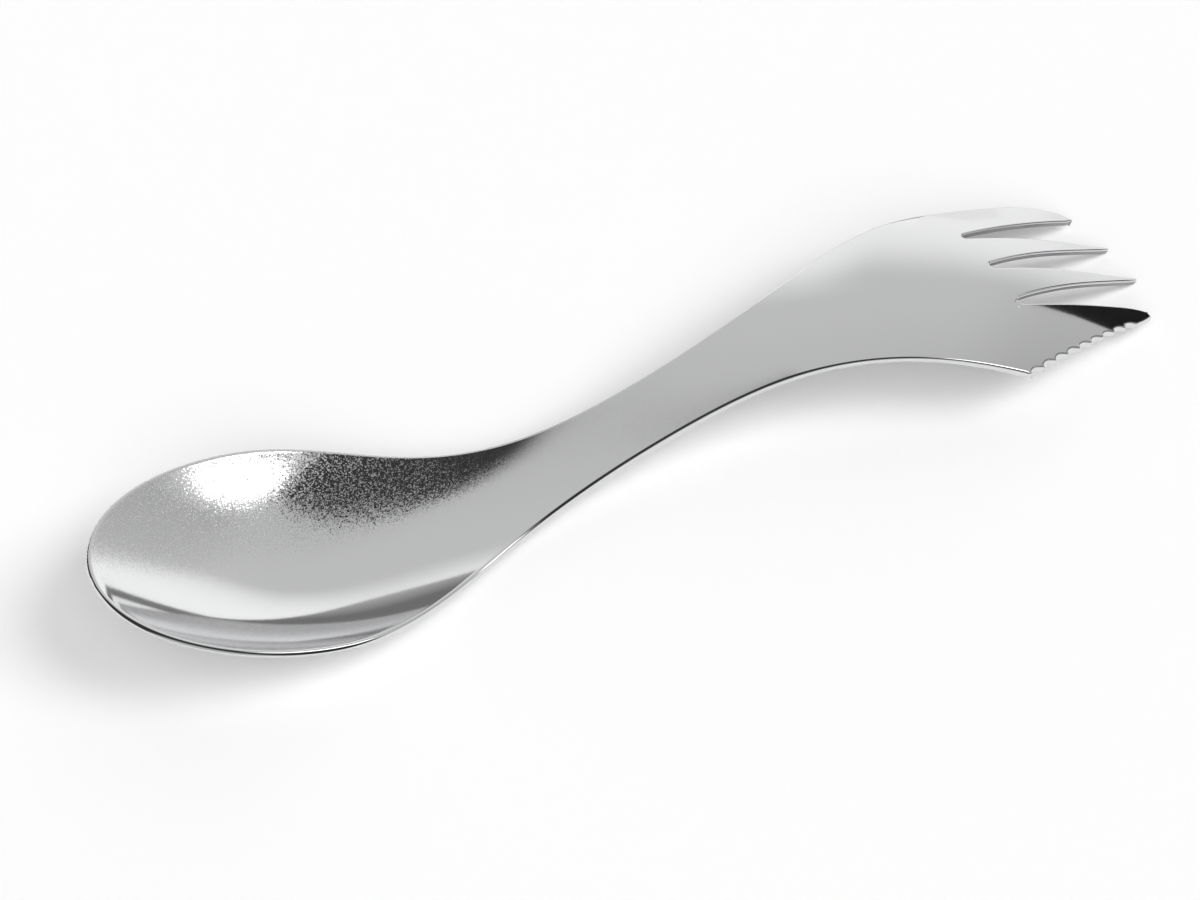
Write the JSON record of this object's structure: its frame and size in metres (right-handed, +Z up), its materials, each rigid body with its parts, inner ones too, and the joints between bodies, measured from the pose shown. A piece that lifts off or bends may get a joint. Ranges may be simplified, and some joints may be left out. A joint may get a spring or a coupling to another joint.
{
  "type": "spork",
  "caption": "Spork pressed from one steel sheet: oval spoon bowl, waisted handle bent in a shallow S, and a crowned fork head with tapered tines and a scalloped knife edge on one side.",
  "frame": {"origin": "centre of the bounding box in plan, at the height of the table that the bowl's underside and the tine tips rest on", "axes": "+X from the bowl's tip to the tine tips, +Y towards the head's plain side (the knife edge is on -Y), +Z up with the bowl's hollow facing up"},
  "size_m": [0.1704, 0.0398, 0.0166],
  "materials": {
    "steel": "tumbled bright stainless steel, no plating"
  },
  "bodies": {
    "root": {"spork": "steel"}
  },
  "joints": []
}
